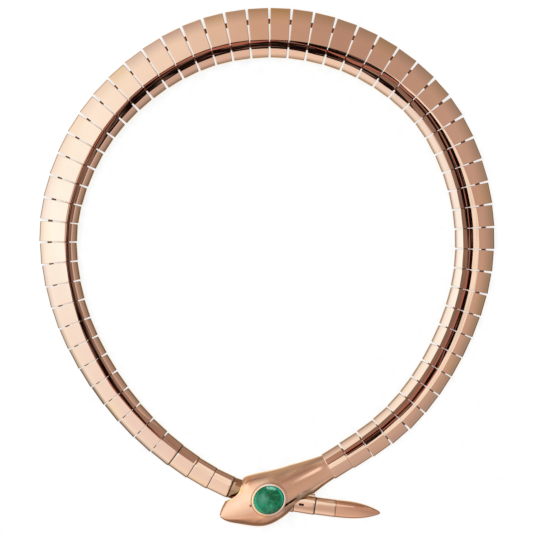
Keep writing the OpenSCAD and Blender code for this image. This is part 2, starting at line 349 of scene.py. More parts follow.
def dome_point(w, u, wall=0.0):
    """Height of a dome's surface at a distance u out of the middle, and the slope angle there."""
    du = u + CREST_SHARE * w
    side = 1 if du > 0 else -1
    reach = w / 2 + side * CREST_SHARE * w
    skirt = OUTER_SKIRT if du > 0 else INNER_SKIRT
    r = arc_r(reach, dome_h(w) * (1 - skirt))
    du = max(-reach, min(reach, du))
    z = dome_h(w) - r + math.sqrt(max((r - wall) ** 2 - du * du, 0))
    return z, math.degrees(math.asin(du / r))


def head_heading(back):
    return NECK_HEADING - HEAD_BEND * back / HEAD_L


def head_at(back):
    return joint_at(0) + BEND_R * (outward(head_heading(back)) - outward(NECK_HEADING))


def head_place(back, out):
    return offset(head_at(back), head_heading(back), out)


EYE_HEADING = head_heading(EYE_BACK)
EYE_AT = head_place(EYE_BACK, EYE_SHIFT)


def scene_object(name, data):
    shown = bpy.data.objects.new(name, data)
    bpy.context.scene.collection.objects.link(shown)
    return shown


def mesh_of(name, verts, faces, material):
    """A mesh from points in millimetres."""
    mesh = bpy.data.meshes.new(name)
    mesh.from_pydata([Vector(v) * MM for v in verts], [], faces)
    if material:
        mesh.materials.append(material)
    return mesh


def new_piece(name, verts, faces, material=None, smooth_to=SMOOTH_TO):
    """A mesh object with its faces turned outwards, smooth except at sharp bends."""
    mesh = mesh_of(name, verts, faces, material)
    mesh.validate()
    tidy = bmesh.new()
    tidy.from_mesh(mesh)
    bmesh.ops.recalc_face_normals(tidy, faces=tidy.faces)
    tidy.to_mesh(mesh)
    tidy.free()
    piece = scene_object(name, mesh)
    smooth(piece, smooth_to)
    return piece


def smooth(piece, smooth_to=SMOOTH_TO):
    piece.data.shade_smooth()
    piece.data.set_sharp_from_angle(angle=math.radians(smooth_to))


def grid_faces(rings, ring_n, closed=True):
    """Quads between rings that follow one another, each with ring_n points."""
    faces = []
    for i in range(rings - 1):
        for j in range(ring_n if closed else ring_n - 1):
            a = i * ring_n + j
            b = i * ring_n + (j + 1) % ring_n
            faces.append((a, b, b + ring_n, a + ring_n))
    return faces


def lofted(rings):
    """Points and faces of a closed solid through rings of points that follow one another."""
    n = len(rings[0])
    faces = grid_faces(len(rings), n)
    faces.append(tuple(reversed(range(n))))
    faces.append(tuple((len(rings) - 1) * n + i for i in range(n)))
    return [p for ring in rings for p in ring], faces


def loft(name, rings, material=None, smooth_to=SMOOTH_TO):
    return new_piece(name, *lofted(rings), material, smooth_to)


def cut(piece, tool, operation="DIFFERENCE"):
    """Cuts a piece with a closed solid, which is used up."""
    change = piece.modifiers.new("cut", "BOOLEAN")
    change.operation = operation
    change.solver = "EXACT"
    change.object = tool
    bpy.context.view_layer.update()
    evaluated = piece.evaluated_get(bpy.context.evaluated_depsgraph_get())
    result = bpy.data.meshes.new_from_object(evaluated)
    piece.modifiers.clear()
    piece.data = result
    bpy.data.objects.remove(tool)


def prism(name, outline, z0, z1):
    """A solid between two heights over an outline of points."""
    return loft(name, [[(x, y, z) for x, y in outline] for z in (z0, z1)])


def circle(at, r, steps=32):
    turns = [2 * math.pi * i / steps for i in range(steps)]
    return [(at[0] + r * math.cos(t), at[1] + r * math.sin(t)) for t in turns]


def stands_for(piece, nodes, mark_at=None):
    """Puts a piece in the place of CAD nodes, with the marks of its gold where they are given."""
    if mark_at:
        mark(piece, [mark_at(v.co / MM) for v in piece.data.vertices])
    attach(piece, ROOT)
    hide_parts(*nodes)


# The crease behind the eye, from the setting towards the neck: distance back, shift outwards;
# where along it the crease comes and goes; and the low bank on its inner side, a shallow hollow
CREASE_FROM = Vector((17.6, 4.35))
CREASE_TO = Vector((11.6, 3.62))
CREASE_RUN = (-0.3, 0.0, 0.6, 1.15)
CREASE_DEPTH = 0.5
CREASE_HALF_W = 0.38
GROOVE_HALF_W = 0.7 * CREASE_HALF_W
# How dark the painted shade in the crease is for its depth, and over which shares of its half width
# that fades
CREASE_DARK = 1.6
CREASE_FADES = (0.35, 1.2)
BANK_DEPTH = 0.25
BANK_SHIFT = 0.6
BANK_HALF_W = 0.9
# The jaw's inner corner, where the skin swells: middle, half length and half width, rise
JAW_AT = (25.0, -7.0)
JAW_REACH = (3.0, 2.2)
JAW_RISE = 0.3
# Ridge along the snout's outer side, below which the jaw is steeper and painted darker: distance back,
# shift outwards; how deep the jaw falls below it, over which distances from it, and over which
# distances back that begins
RIDGE = [(36.5, 0.8), (32.3, 1.8), (30.3, 2.5), (28.2, 2.9), (26.2, 3.6), (24.4, 4.7), (20.0, 5.2)]
RIDGE_FALL = 0.16
RIDGE_RUN = (0.0, 1.5, 1.5, 4.0)
RIDGE_BACK = (20.5, 24.0)
# Heights over which the relief begins
RELIEF_FROM = (1.0, 2.0)
# Painted shadow close round the setting, and the distances from it over which it fades
SETTING_SHADOW = 0.4
RIM_FADES = (0.15, 0.45)
# Painted shade on the snout's outer half, then below the ridge: the shift outwards of the middle or of
# the ridge, and the distance back, over which each begins
SNOUT_SHADE = 0.17
SNOUT_SHADE_FROM = (-0.2, 1.4), (24.0, 27.0)
RIDGE_SHADE = 0.3
RIDGE_SHADE_FROM = (-0.1, 0.35), (18.0, 22.0)
# Redness of the snout, a painted reddish reflection, and the distances back over which it comes
SNOUT_RED = 0.8
SNOUT_BACK = (18.0, 26.0)
# Share of a soft-edged spot's reach in which it has its full strength
SPOT_CORE = 0.3
# Painted shade and dark reflections on the head: name, middle, half length, half width, strength
HEAD_SHADES = [
    ("dark_reflection_spot", (25.8, 0.1), 0.6, 0.42, 1.0),
    ("neck_top", (5.0, -3.0), 16.0, 1.5, 0.3),
    ("jaw_top", (20.5, -6.4), 4.0, 1.3, 0.12),
    ("jaw_hollow", (25.4, 5.4), 2.4, 1.1, 0.45),
    ("under_ridge", (27.5, 3.2), 4.5, 2.6, 0.22),
    ("over_tail", (10.4, 4.0), 5.2, 1.6, 0.72),
    ("neck_edge", (8.0, 4.5), 10.0, 0.7, 0.3),
    ("neck_flank", (13.8, -4.1), 6.5, 1.5, 0.3),
    ("cheek", (15.5, 5.3), 3.2, 1.1, 0.42),
]
# Painted yellow reflections: the edge over the notch beside the jaw, the outer edge of the neck and the
# edge of the snout
HEAD_YELLOW_GLINTS = [
    ("outer_edge", (7.5, 4.7), 8.5, 1.0, 0.75),
    ("notch_edge", (28.4, -5.2), 3.4, 1.2, 0.95),
    ("snout_edge", (31.2, -4.0), 2.0, 1.2, 0.8),
]


def head_coords(p):
    """How far back and how far out on the head a point lies, seen from above."""
    arm = Vector(p[:2]) - joint_at(0) + BEND_R * outward(NECK_HEADING)
    heading = math.degrees(math.atan2(arm.x, -arm.y))
    return (NECK_HEADING - heading) * HEAD_L / HEAD_BEND, arm.length - BEND_R


# Materials
ROSE_TONES = (0.9, 0.655, 0.53), (0.95, 0.74, 0.6)
HEAD_TONES = (0.9, 0.63, 0.49), (0.95, 0.74, 0.58)
YELLOW_TONE = (0.93, 0.66, 0.28)
RED_TONE = (0.93, 0.51, 0.33)
# The dark brown of painted shade
PAINTED_SHADE_TONE = (0.06, 0.025, 0.02)
# What tints the gold, in this order: the name of the mark at each point, and its colour
MARK_TONES = ("redness", RED_TONE), ("warmth", YELLOW_TONE), ("painted_shade", PAINTED_SHADE_TONE)
DENT_DEPTH = 0.004


class Nodes:
    """Short calls for building the nodes of a material or a world."""

    def __init__(self, owner):
        self.owner = owner
        self.tree = owner.node_tree

    @classmethod
    def of_material(cls, name):
        material = bpy.data.materials.new(name)
        material.use_nodes = True
        n = cls(material)
        n.shader = n.tree.nodes["Principled BSDF"]
        n.position = n.add("ShaderNodeTexCoord").outputs["Object"]
        return n

    def add(self, kind, inputs=None, **settings):
        node = self.tree.nodes.new(kind)
        for key, value in settings.items():
            setattr(node, key, value)
        self.feed(node, inputs or {})
        return node

    def feed(self, node, inputs):
        """Sets a node's inputs, by name or number."""
        for key, value in inputs.items():
            self.set_socket(node.inputs[key], value)

    def set_socket(self, socket, value):
        """Gives a socket a number, a colour, a vector or the output of another node."""
        if isinstance(value, bpy.types.NodeSocket):
            self.tree.links.new(value, socket)
        elif socket.type == "RGBA":
            socket.default_value = (*value, 1)
        else:
            socket.default_value = value

    def noise(self, scale, detail=3.0, rough=0.5, stretch=None, distortion=0.0):
        """Noise with features of about scale millimetres, drawn out along an axis by stretch."""
        place = self.position
        if stretch:
            place = self.add("ShaderNodeMapping", {"Scale": stretch, "Vector": place}).outputs["Vector"]
        return self.add("ShaderNodeTexNoise", {
            "Vector": place,
            "Scale": 1 / (scale * MM),
            "Detail": detail,
            "Roughness": rough,
            "Distortion": distortion,
        }).outputs["Fac"]

    def ramp(self, value, stops):
        node = self.add("ShaderNodeValToRGB", {"Fac": value})
        band = node.color_ramp
        for place, _ in stops[1:-1]:
            band.elements.new(place)
        for element, (place, colour) in zip(band.elements, stops):
            element.position = place
            element.color = (*colour, 1)
        return node.outputs["Color"]

    def range(self, value, low, high, to_low, to_high):
        bounds = {"From Min": low, "From Max": high, "To Min": to_low, "To Max": to_high}
        return self.add("ShaderNodeMapRange", {"Value": value, **bounds}).outputs["Result"]

    def mix(self, share, a, b):
        node = self.add("ShaderNodeMix", data_type="RGBA")
        in_use = [s for s in node.inputs if s.enabled]
        for socket, value in zip(in_use, (share, a, b)):
            self.set_socket(socket, value)
        return [s for s in node.outputs if s.enabled][0]

    def math(self, operation, a, b):
        return self.add("ShaderNodeMath", {0: a, 1: b}, operation=operation).outputs["Value"]

    def distance(self, place, centre):
        """Distance of a place from a point given in millimetres."""
        point = [c * MM for c in centre]
        node = self.add("ShaderNodeVectorMath", {0: place, 1: point}, operation="DISTANCE")
        return node.outputs["Value"]

    def bump(self, height, depth_mm):
        node = self.add("ShaderNodeBump", {"Distance": depth_mm * MM, "Height": height})
        self.feed(self.shader, {"Normal": node.outputs["Normal"]})


def gold(name, colour, rubbed_lit_edge, rough, scratch_depth=0.0004, metallic=1.0):
    """Polished gold: slow changes of tone, hair scratches, and edges a little paler, partly rubbed and
    partly a painted highlight.
    """
    n = Nodes.of_material(name)
    tone = n.ramp(n.noise(5.0), [(0.3, tuple(0.97 * c for c in colour)), (0.7, colour)])
    # Paler edges: partly wear, partly a painted highlight
    edge = n.range(n.add("ShaderNodeNewGeometry").outputs["Pointiness"], 0.52, 0.62, 0.0, 0.7)
    tone = n.mix(edge, tone, rubbed_lit_edge)
    for mark_name, marked in MARK_TONES:
        share = n.add("ShaderNodeAttribute", attribute_name=mark_name).outputs["Fac"]
        tone = n.mix(share, tone, marked)
    haze = n.range(n.noise(2.2, 4.0, 0.6), 0.35, 0.75, rough, rough * 1.7)
    n.feed(n.shader, {"Metallic": metallic, "Base Color": tone, "Roughness": haze})
    hair = n.noise(0.35, 2.0, 0.6, stretch=(1.0, 0.12, 1.0))
    cross = n.noise(0.4, 2.0, 0.6, stretch=(0.15, 1.0, 1.0))
    dents = n.math("MULTIPLY", n.noise(4.5, 1.0), DENT_DEPTH / scratch_depth)
    n.bump(n.math("ADD", n.math("ADD", hair, cross), dents), scratch_depth)
    return n.owner


# The stone's colours: from dark to pale in its clouds, its specks, and its rim, brightened with painted
# light passing through its edge
STONE_TONES = [
    (0.34, (0.001, 0.05, 0.02)),
    (0.47, (0.002, 0.1, 0.045)),
    (0.58, (0.004, 0.17, 0.08)),
    (0.72, (0.02, 0.3, 0.16)),
]
SPECK_TONE = (0.06, 0.36, 0.2)
STONE_EDGE_GLOW_TONE = (0.01, 0.46, 0.27)
# Paler and darker places in the stone, and a painted highlight along its top edge: name, place from its
# middle, reach, strength, colour
STONE_CLOUDS = [
    ("pale_left", (-1.6, 0.5), 1.9, 0.7, (0.11, 0.28, 0.2)),
    ("dark_right", (1.3, 1.2), 2.9, 0.9, (0.002, 0.055, 0.016)),
    ("specks_below", (0.5, -2.3), 1.8, 0.5, (0.05, 0.34, 0.19)),
    ("painted_glint_top", (-0.2, 3.85), 0.85, 0.85, (0.35, 0.8, 0.66)),
    ("painted_glint_top_neck", (0.75, 3.75), 0.85, 0.85, (0.35, 0.8, 0.66)),
    ("painted_glint_neck", (1.6, 3.4), 0.7, 0.7, (0.25, 0.7, 0.55)),
]


def cloudy_stone():
    """Deep green polished stone with pale streaks and specks, brighter green painted along its edge for
    light passing through it, and a painted highlight at its top.
    """
    n = Nodes.of_material("cloudy_green_stone")
    body = n.ramp(n.noise(2.2, 5.0, 0.62, distortion=0.8), STONE_TONES)
    speck = n.range(n.noise(0.6, 3.0, 0.6), 0.58, 0.74, 0.0, 0.5)
    body = n.mix(speck, body, SPECK_TONE)
    flat = n.add("ShaderNodeVectorMath", {0: n.position, 1: (1, 1, 0)}, operation="MULTIPLY")
    for _, shift, size, share, colour in STONE_CLOUDS:
        near = n.distance(flat.outputs["Vector"], (*(EYE_AT + Vector(shift)), 0))
        shade = n.range(near, 0.2 * size * MM, size * MM, share, 0.0)
        streak = n.range(n.noise(0.8, 3.0, 0.6, distortion=1.5), 0.35, 0.65, 0.35, 1.0)
        body = n.mix(n.math("MULTIPLY", shade, streak), body, colour)
    # The rim: brighter green painted along the edge, standing in for light passing through it
    far = n.distance(n.position, (*EYE_AT, SEAT_Z + LEDGE_H))
    rim = n.range(far, 0.99 * STONE_D / 2 * MM, 1.08 * STONE_D / 2 * MM, 0.0, 0.85)
    n.feed(n.shader, {
        "Base Color": n.mix(rim, body, STONE_EDGE_GLOW_TONE),
        "Subsurface Weight": 0.15,
        "Subsurface Radius": (0.3, 1.0, 0.6),
        "Subsurface Scale": 0.8 * MM,
        "IOR": 1.57,
        "Specular IOR Level": 0.25,
        "Roughness": n.range(n.noise(1.3), 0.3, 0.7, 0.06, 0.11),
    })
    n.bump(n.noise(1.1), 0.004)
    return n.owner


# Share of the sheet's brightness that is its own glow, so that shadows on it stay faint
PAPER_GLOW = 0.86


def paper():
    """The pale sheet that the necklace lies on."""
    n = Nodes.of_material("pale_sheet")
    grain = n.ramp(n.noise(3.0, 4.0), [(0.3, (0.94, 0.94, 0.94)), (0.7, (1.0, 1.0, 1.0))])
    n.feed(n.shader, {
        "Base Color": n.mix(PAPER_GLOW, grain, (0.0, 0.0, 0.0)),
        "Emission Color": grain,
        "Emission Strength": PAPER_GLOW,
        "Roughness": 0.9,
        "Specular IOR Level": 0.1,
    })
    return n.owner


ROSE_GOLD = gold("rose_gold", *ROSE_TONES, 0.03, 0.0003)
HEAD_GOLD = gold("head_gold", *HEAD_TONES, 0.08)
# Near-white gold: a painted highlight for the ring's bright top, which ring_mark shades back elsewhere
SETTING_GOLD = gold("setting_gold", (1.0, 0.94, 0.84), (1.0, 0.96, 0.88), 0.14, metallic=0.8)
# Dark brown gold: painted shade for the parts that lie in shadow inside the links and in the slot
SHADED_INNER_GOLD = gold("inner_gold", (0.16, 0.07, 0.06), (0.3, 0.15, 0.12), 0.3, 0.004)
GREEN_STONE = cloudy_stone()


# Links
ARC_STEPS_OUT = 20
ARC_STEPS_IN = 14
ROUND_STEPS = 5


def dome_outline(w, wall):
    """A link's outline from its outer foot over the crest to its inner foot, less a wall."""
    points = []
    sides = (1, OUTER_SKIRT, ARC_STEPS_OUT, OUTER_ROUND), (-1, INNER_SKIRT, ARC_STEPS_IN, INNER_ROUND)
    for side, skirt, steps, edge_round in sides:
        reach = w / 2 + side * CREST_SHARE * w
        r = arc_r(reach, dome_h(w) * (1 - skirt))
        edge = math.asin((reach - wall) / (r - wall))
        centre_z = dome_h(w) - r
        corner_z = centre_z + (r - wall) * math.cos(edge)
        round_by = INSIDE_ROUND if wall else edge_round
        turns = [(edge - round_by / r) * i / steps for i in range(steps + 1)]
        half = [((r - wall) * math.sin(t), centre_z + (r - wall) * math.cos(t)) for t in turns]
        arc_end = Vector(half[-1])
        corner = Vector((reach - wall, corner_z))
        foot_top = Vector((reach - wall, corner_z - round_by))
        for i in range(1, ROUND_STEPS + 1):
            t = i / ROUND_STEPS
            half.append(tuple(arc_end * (1 - t) ** 2 + corner * 2 * t * (1 - t) + foot_top * t * t))
        half.append((reach - wall, SKIRT_FOOT))
        half.append((reach - wall, 0.0))
        placed = [(side * x - CREST_SHARE * w, z) for x, z in half]
        points = list(reversed(placed)) + points if side == 1 else points + placed[1:]
    return points


def outline_normals(points):
    """Directions out of an outline at each of its points."""
    out = []
    for i in range(len(points)):
        a = Vector(points[max(i - 1, 0)])
        b = Vector(points[min(i + 1, len(points) - 1)])
        along = (b - a).normalized()
        out.append(Vector((-along.y, along.x)))
    if out[len(out) // 2].y < 0:
        out = [-v for v in out]
    return out


def narrowness(w):
    """0 for the widest links and 1 for the narrowest."""
    return max(0.0, min(1.0, (PLAY_WIDTHS[0] - w) / (PLAY_WIDTHS[0] - PLAY_WIDTHS[1])))


def half_l(k, side, u):
    """Distance from a link's middle to its end behind or ahead, at a distance u out of its middle."""
    w = link_w(k)
    j = k if side > 0 else k - 1
    past = u + PIVOT_SHARE * w
    if SNUG_FROM <= j < LINK_COUNT:
        bend = math.radians(link_heading(j + 1) - link_heading(j)) / 2
        return (link_l(k) + HINGE_GAP - SNUG_GAP) / 2 + past * math.tan(bend)
    taper = OUTER_TAPER if past > 0 else INNER_TAPER
    taken = PLAY_TAKEN[0] + (PLAY_TAKEN[1] - PLAY_TAKEN[0]) * narrowness(w)
    return link_l(k) / 2 + taken + past * math.tan(math.radians(taper))


def beside_link(k, side, points):
    """A section's points set upright against a link's end behind or ahead, a fine gap away."""
    return [(*link_place(k, x, side * (half_l(k, side, x) + SNUG_GAP)), z) for x, z in points]


def between(table, key):
    """Value at a key, straight between the rows of a table of keys and values."""
    for (low, first), (high, second) in zip(table, table[1:]):
        if key <= high:
            return first + (second - first) * (key - low) / (high - low)
    return table[-1][1]


def link_tone(k, share):
    """Painted shade, yellowness and redness of a link at a share of its width from its outer edge."""
    outer = between(OUTER_RIM, k) * (1 - step(share, *OUTER_RIM_ENDS))
    tone = [max(outer, INNER_RIM * step(share, *INNER_RIM_BEGINS)), 0.0, 0.0]
    for _, first, last, begin, end, *strengths in PATCHES:
        if first <= k <= last:
            soft = PATCH_SOFT
            inside = hump(share, begin - soft, begin + soft, end - soft, end + soft)
            tone = [max(a, b * inside) for a, b in zip(tone, strengths)]
    return tone


def wobble(k, size):
    """A small fixed change that differs from link to link."""
    return size * math.sin(k * WOBBLE[0] + WOBBLE[1]) * math.cos(k * WOBBLE[2])


def link_shell(k):
    """Points and faces of one domed link, open below and at its ends, with marks for its painted shade
    and tints.
    """
    w = link_w(k)
    outer = dome_outline(w, 0)
    inner = dome_outline(w, LINK_WALL)
    normals = outline_normals(outer)
    n = len(outer)
    sections = [(-1, *e) for e in END_SECTIONS] + [(1, *e) for e in reversed(END_SECTIONS)]
    roll = math.radians(wobble(k, LEAN))
    warmth = max(0.0, wobble(k + 0.5, LINK_WARMTH))
    verts = []
    marks = []
    for side, back, sunk in sections:
        j = k if side > 0 else k - 1
        snug = j >= SNUG_FROM
        edge = WIDE_SNUG_ROUND.get(j, SNUG_ROUND) if snug else END_ROUND
        # Painted shade at the link's ends, where the joint lies in shadow
        painted_shade = 1.0 if snug else END_SHADE[0] + (END_SHADE[1] - END_SHADE[0]) * narrowness(w)
        painted_shade *= min(1.0, (SNUG_FADE if snug else END_FADE) * sunk)
        loop = [(Vector(p) - q * (edge * sunk if p[1] > 0 else 0), p) for p, q in zip(outer, normals)]
        loop += [(Vector(p), p) for p in reversed(inner)]
        for place, (u, _) in loop:
            xy = link_place(k, place.x, side * (half_l(k, side, u) - back * edge))
            verts.append((*xy, place.y * (1 + roll * place.x / dome_h(w))))
            link_shade, yellow, red = link_tone(k, 0.5 - u / w)
            warm = warmth * max(0.0, u / w - WARM_FROM) / (0.5 - WARM_FROM)
            marks.append((max(link_shade, painted_shade), max(yellow, warm), red))
    faces = grid_faces(len(sections), 2 * n)
    for end in (0, len(sections) - 1):
        first = end * 2 * n
        for i in range(n - 1):
            face = (first + i, first + i + 1, first + 2 * n - 2 - i, first + 2 * n - 1 - i)
            faces.append(face if end else tuple(reversed(face)))
    return verts, faces, marks


def link_piece(name, k):
    verts, faces, marks = link_shell(k)
    return mark(new_piece(name, verts, faces, ROSE_GOLD), marks)


def mark(piece, marks):
    """Stores the painted shade, the yellowness and the redness of the gold at each point."""
    for i, name in enumerate(("painted_shade", "warmth", "redness")):
        layer = piece.data.attributes.new(name, "FLOAT", "POINT")
        layer.data.foreach_set("value", [m[i] for m in marks])
    return piece


def post_shift(w):
    return min(POST_SHARE * w, w / 2 - LINK_WALL - POST_MARGIN)


def post_r(w):
    return POST_R_SHARE * (STRAP_R + STRAP_R_RISE * w)


def post(j, side, across, top):
    """Points and faces of a post with a wide foot, behind or ahead of a joint."""
    w = body_w(j)
    at = joint_place(j, across * post_shift(w), side * POST_REACH)
    r = post_r(w)
    wide = r + FOOT_RIM
    foot_top = FOOT_Z + FOOT_T
    outline = [(wide - FOOT_BEVEL, FOOT_Z), (wide, FOOT_Z + FOOT_BEVEL), (wide, foot_top)]
    outline += [(r, foot_top), (r, top)]
    return lofted([[(x, y, z) for x, y in circle(at, radius, POST_STEPS)] for radius, z in outline])


def joined(parts):
    """Points and faces of several parts as one."""
    verts = []
    faces = []
    for part in parts:
        first = len(verts)
        verts += part[0]
        faces += [tuple(first + i for i in face) for face in part[1]]
    return verts, faces


def link_posts(k):
    w = link_w(k)
    parts = []
    for across in (-1, 1):
        top = dome_point(w, across * post_shift(w), LINK_WALL / 2)[0]
        parts.append(post(k - 1, 1, across, top))
        parts.append(post(k, -1, across, top))
    return parts


def on_link(k, points):
    """Points given as distance outwards and forwards from the middle of a link."""
    return [tuple(link_place(k, *point)) for point in points]


def drilled_link():
    """The link under the head that takes the clasp's peg."""
    piece = link_piece("link_with_peg_hole", PEG_LINK)
    hole = circle(link_at(PEG_LINK), PEG_D / 2 + PEG_PLAY)
    cut(piece, prism("peg_hole", hole, PEG_FOOT, dome_h(link_w(PEG_LINK)) + CUT_OVER))
    smooth(piece)
    return piece


def darken_slot(piece, at, floor):
    """Gives the faces inside the slot the dark, duller gold: painted shade in the recess."""
    mesh = piece.data
    mesh.materials.append(SHADED_INNER_GOLD)
    for face in mesh.polygons:
        corners = [mesh.vertices[i].co / MM for i in face.vertices]
        near = all((c.xy - Vector(at)).length < SLOT_REACH * CATCH_SLOT[0] for c in corners)
        if near and min(c.z for c in corners) > floor - SLOT_SLACK:
            face.material_index = 1


def catch_link():
    """The first link past the head, with an oval slot and a small catch plate."""
    piece = link_piece("link_with_catch", CATCH_LINK)
    w = link_w(CATCH_LINK)
    run = (CATCH_SLOT[0] - CATCH_SLOT[1]) / 2
    slot = []
    for i, (x, y) in enumerate(circle(CATCH_SHIFT, CATCH_SLOT[1] / 2, SLOT_STEPS)):
        slot.append((x, y + run if 0 < i <= SLOT_STEPS // 2 else y - run))
    floor = dome_point(w, CATCH_SHIFT[0], SLOT_SHARE * LINK_WALL)[0]
    cut(piece, prism("slot", on_link(CATCH_LINK, slot), floor, dome_h(w) + CUT_OVER))
    darken_slot(piece, on_link(CATCH_LINK, [CATCH_SHIFT])[0], floor)
    plate = on_link(CATCH_LINK, [(-w / 2 - x, y) for x, y in CATCH])
    cut(piece, prism("catch_plate", plate, CATCH_Z, CATCH_Z + CATCH_T), "UNION")
    smooth(piece)
    return piece


def build_links():
    plain = [k for k in range(1, LINK_COUNT + 1) if k not in (PEG_LINK, CATCH_LINK)]
    shells = [link_shell(k) for k in plain]
    marks = [m for shell in shells for m in shell[2]]
    row = mark(new_piece("link_row", *joined(shells), ROSE_GOLD), marks)
    posts = joined([part for k in range(1, LINK_COUNT + 1) for part in link_posts(k)])
    for piece in (row, new_piece("link_posts", *posts, SHADED_INNER_GOLD), drilled_link(), catch_link()):
        stands_for(piece, ["links"])


# Head
RING_STEPS = 110
HEAD_RINGS_PER_ROW = 18


def arch(outside, inside, h, crest, full_out, full_in, foot):
    """A section's points from its outside foot over the crest to its inside foot."""
    points = [(outside, foot)]
    for i in range(RING_STEPS + 1):
        t = math.pi * i / RING_STEPS
        first = 2 * i <= RING_STEPS
        full = full_out if first else full_in
        round_x = abs(math.cos(t)) ** (2 / full)
        x = crest + (outside - crest) * round_x if first else crest - (inside + crest) * round_x
        points.append((x, FOOT_EDGE + (h - FOOT_EDGE) * abs(math.sin(t)) ** (2 / full)))
    points.append((-inside, foot))
    return points


def upright(points, at, heading):
    """A section's points set upright at a place and heading."""
    return [(*offset(at, heading, x), z) for x, z in points]


def crease_at(back, x):
    """Distance from the crease's line, and how deep the crease is at that place along it."""
    run = CREASE_TO - CREASE_FROM
    arm = Vector((back, x)) - CREASE_FROM
    return arm.cross(run) / run.length, hump(arm.dot(run) / run.length_squared, *CREASE_RUN)


def below_ridge(back, x):
    """How far a place on the head lies outwards of the ridge along the jaw."""
    for (a_back, a_out), (b_back, b_out) in zip(RIDGE, RIDGE[1:]):
        if b_back <= back <= a_back:
            return x - (a_out + (b_out - a_out) * (a_back - back) / (a_back - b_back))
    return -9.0


def head_relief(back, x):
    """Change in the height of the head's skin at a place: the crease and the ridge of the jaw."""
    side, depth = crease_at(back, x)
    fall = CREASE_DEPTH * depth * math.exp(-((side / GROOVE_HALF_W) ** 2))
    if side < 0:
        fall += BANK_DEPTH * depth * math.exp(-(((side + BANK_SHIFT) / BANK_HALF_W) ** 2))
    fall += RIDGE_FALL * hump(below_ridge(back, x), *RIDGE_RUN) * step(back, *RIDGE_BACK)
    return JAW_RISE * spot(back, x, JAW_AT, *JAW_REACH) - fall


def spot(back, x, middle, reach_l, reach_w):
    """How much a place on the head belongs to a soft-edged spot, from 0 to 1."""
    far = math.hypot((back - middle[0]) / reach_l, (x - middle[1]) / reach_w)
    return 1 - step(far, SPOT_CORE, 1.0)


def both_begin(across, back, begins):
    return step(across, *begins[0]) * step(back, *begins[1])


def strongest(places, back, x):
    return max(share * spot(back, x, middle, *reach) for _, middle, *reach, share in places)


def eye_coords(p):
    """How far a point lies ahead of the eye's middle and outwards of it, were the eye round."""
    along, out = coords_from(EYE_AT, EYE_HEADING, p)
    return along / EYE_LONGER, out


def head_mark(p):
    """Painted shade, painted yellow reflections and redness of the head's gold at a point."""
    back, x = head_coords(p)
    side, depth = crease_at(back, x)
    core = 1 - step(abs(side) / CREASE_HALF_W, *CREASE_FADES)
    from_ring = math.hypot(*eye_coords(p)) - SETTING_D / 2
    # Painted shade in the crease, at the dark places, on the snout, below the ridge and round the
    # setting
    painted_shade = max(
        core * min(1.0, CREASE_DARK * depth),
        strongest(HEAD_SHADES, back, x),
        SNOUT_SHADE * both_begin(x, back, SNOUT_SHADE_FROM),
        RIDGE_SHADE * both_begin(below_ridge(back, x), back, RIDGE_SHADE_FROM),
        SETTING_SHADOW * (1 - step(from_ring, *RIM_FADES)),
    )
    return painted_shade, strongest(HEAD_YELLOW_GLINTS, back, x), SNOUT_RED * step(back, *SNOUT_BACK)


def head_section(row, wall):
    """The skin's outline at a row of the head's table, or the cavity's where there is a wall."""
    _, inside, outside, h, crest, full_in, full_out = row
    foot = -CUT_OVER if wall else 0
    return arch(outside - wall, inside - wall, h - wall, crest, full_out, full_in, foot)


def head_rings(wall):
    """Sections of the skin with its relief, or of the cavity where there is a wall."""
    last = (len(HEAD) - 1) * HEAD_RINGS_PER_ROW
    first = HEAD_SOLID_ROWS * HEAD_RINGS_PER_ROW if wall else 0
    rings = []
    for i in range(first, last + 1):
        row = row_at(HEAD, i / HEAD_RINGS_PER_ROW)
        points = head_section(row, wall)
        if not wall:
            points = [(x, z + head_relief(row[0], x) * step(z, *RELIEF_FROM)) for x, z in points]
        if i == last and not wall:
            rings.append(beside_link(1, -1, points))
        else:
            rings.append(upright(points, head_at(row[0]), head_heading(row[0])))
    return rings


def oval(r, steps=72):
    """An oval round the eye, drawn out along the head."""
    turns = [2 * math.pi * i / steps for i in range(steps)]
    return [
        tuple(offset(EYE_AT, EYE_HEADING, r * math.sin(t), r * EYE_LONGER * math.cos(t))) for t in turns
    ]


def passage():
    """The arched way through the head, under which the tail runs."""
    r = PASSAGE_ROOF_R
    span = math.asin(PASSAGE_W / 2 / r)
    turns = [-span + 2 * span * i / PASSAGE_STEPS for i in range(PASSAGE_STEPS + 1)]
    roof = [(r * math.sin(t), PASSAGE_H - r + r * math.cos(t)) for t in turns]
    outline = [(-PASSAGE_W / 2, -CUT_OVER), *roof, (PASSAGE_W / 2, -CUT_OVER)]
    ends = [offset(PASSAGE_AT, PASSAGE_HEADING, 0.0, side * PASSAGE_L / 2) for side in (-1, 1)]
    return loft("passage", [upright(outline, end, PASSAGE_HEADING) for end in ends])


def build_head():
    head = loft("head_shell", head_rings(0), HEAD_GOLD)
    neck = upright(head_section(HEAD[-1], HEAD_WALL), head_at(-CUT_OVER), head_heading(-CUT_OVER))
    cavity = loft("cavity", [*head_rings(HEAD_WALL), neck])
    cut(cavity, prism("seat", oval(SETTING_D / 2 + SEAT_RIM), SEAT_Z - SEAT_T, SEAT_Z))
    for across in (-1, 1):
        cut(cavity, new_piece("neck_post", *post(0, -1, across, HEAD[-1][3])))
    cut(head, cavity)
    cut(head, passage())
    cut(head, prism("pocket", oval(SETTING_D / 2 + POCKET_PLAY), SEAT_Z, SEAT_Z + POCKET_H))
    smooth(head, SKIN_SMOOTH_TO)
    stands_for(head, ["head"], head_mark)


